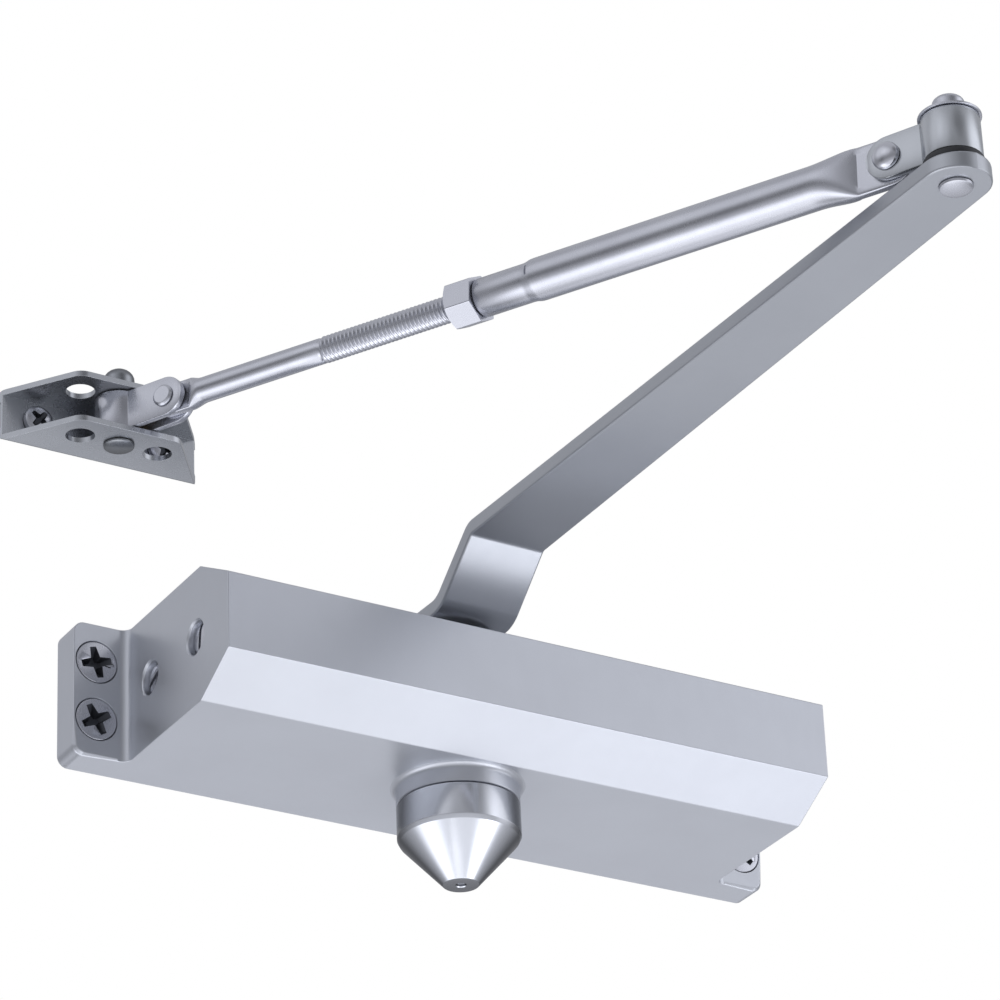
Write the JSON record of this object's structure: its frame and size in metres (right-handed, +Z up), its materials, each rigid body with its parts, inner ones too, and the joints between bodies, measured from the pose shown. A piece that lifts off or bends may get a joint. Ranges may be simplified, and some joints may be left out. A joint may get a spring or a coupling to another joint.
{
  "type": "door closer",
  "caption": "Surface-mounted hydraulic door closer: faceted silver body with rack and pinion, cranked main arm, adjustable forearm with lock nut, and a frame shoe.",
  "frame": {"origin": "the middle of the body's back face, straight behind the pinion's axis", "axes": "+X runs along the body away from its valve end, +Y points into the door, +Z is up"},
  "size_m": [0.2846, 0.3267, 0.1408],
  "materials": {
    "body_paint": "satin silver paint on cast aluminium",
    "silver_paint": "satin silver paint on steel",
    "zinc_plate": "bright zinc plate on steel",
    "ground_steel": "ground and oiled steel",
    "bearing_bronze": "sintered bearing bronze",
    "dark_nylon": "moulded black nylon",
    "seal_rubber": "moulded nitrile rubber"
  },
  "bodies": {
    "body": {"housing": "body_paint", "end_plug": "zinc_plate", "end_plug_o_ring": "seal_rubber", "upper_bearing_ring": "zinc_plate", "lower_bearing_ring": "zinc_plate", "upper_bearing_bush": "bearing_bronze", "lower_bearing_bush": "bearing_bronze", "upper_shaft_seal": "seal_rubber", "lower_shaft_seal": "seal_rubber", "pinion_cap": "body_paint", "body_screw_1": "zinc_plate", "body_screw_2": "zinc_plate", "body_screw_3": "zinc_plate", "body_screw_4": "zinc_plate", "sweep_valve_o_ring": "seal_rubber", "latch_valve_o_ring": "seal_rubber", "main_spring": "ground_steel"},
    "main_arm_body": {"pinion_shaft": "ground_steel", "main_arm": "silver_paint", "arm_washer": "zinc_plate", "arm_screw": "zinc_plate", "elbow_pin": "zinc_plate", "elbow_spacer": "dark_nylon", "elbow_washer": "zinc_plate", "elbow_bush": "bearing_bronze"},
    "piston_body": {"piston": "ground_steel", "check_valve_seat": "bearing_bronze"},
    "check_ball_body": {"check_ball": "ground_steel"},
    "sweep_valve": {"sweep_valve_screw": "zinc_plate"},
    "latch_valve": {"latch_valve_screw": "zinc_plate"},
    "elbow": {"elbow_strap": "zinc_plate", "elbow_rivet": "zinc_plate"},
    "tube": {"forearm_tube": "zinc_plate"},
    "nut": {"lock_nut": "zinc_plate"},
    "rod": {"forearm_rod": "zinc_plate"},
    "yoke": {"shoe_yoke": "zinc_plate", "yoke_rivet": "zinc_plate", "yoke_bush": "bearing_bronze"},
    "shoe": {"shoe_bracket": "zinc_plate", "shoe_pin": "zinc_plate", "shoe_screw_1": "zinc_plate", "shoe_screw_2": "zinc_plate"}
  },
  "joints": [
    {"name": "main_arm_swing", "type": "hinge", "parent": "body", "child": "main_arm_body", "pos_m": [0, -0.0389, 0], "axis": [0, 0, 1], "range_deg": [-170, 0], "stiffness_Nm_per_rad": 2.3, "springref_deg": 126.05},
    {"name": "piston_slide", "type": "slide", "parent": "body", "child": "piston_body", "axis": [1, 0, 0], "range_m": [0, 0.0268], "deforming": ["main_spring"]},
    {"name": "check_ball_lift", "type": "slide", "parent": "piston_body", "child": "check_ball_body", "axis": [1, 0, 0], "range_m": [-0.0006, 0]},
    {"name": "sweep_valve_turn", "type": "hinge", "parent": "body", "child": "sweep_valve", "pos_m": [-0.0985, -0.0565, 0], "axis": [1, 0, 0], "range_deg": [-360, 360]},
    {"name": "latch_valve_turn", "type": "hinge", "parent": "body", "child": "latch_valve", "pos_m": [-0.0985, -0.0265, 0], "axis": [1, 0, 0], "range_deg": [-360, 360]},
    {"name": "elbow_swing", "type": "hinge", "parent": "main_arm_body", "child": "elbow", "pos_m": [0.00467, -0.30626, 0.06075], "axis": [0, 0, 1], "continuous": true},
    {"name": "forearm_tilt", "type": "hinge", "parent": "elbow", "child": "tube", "pos_m": [-0.00341, -0.29006, 0.06075], "axis": [-0.8949, -0.4462, 0], "range_deg": [-12, 1]},
    {"name": "lock_nut_run", "type": "slide", "parent": "tube", "child": "nut", "axis": [-0.4459, 0.8944, 0.0354], "range_m": [0, 0.008]},
    {"name": "rod_adjust", "type": "slide", "parent": "tube", "child": "rod", "axis": [-0.4459, 0.8944, 0.0354], "range_m": [-0.04, 0.03]},
    {"name": "yoke_tilt", "type": "hinge", "parent": "rod", "child": "yoke", "pos_m": [-0.11295, -0.07036, 0.06945], "axis": [-0.8949, -0.4462, 0], "range_deg": [-8, 2]},
    {"name": "shoe_swing", "type": "hinge", "parent": "yoke", "child": "shoe", "pos_m": [-0.1217, -0.05281, 0.06945], "axis": [0, 0, 1], "range_deg": [-55, 100]}
  ],
  "couplings": [
    {"joint": "piston_slide", "follows": "main_arm_swing", "m_per_rad": -0.009}
  ]
}
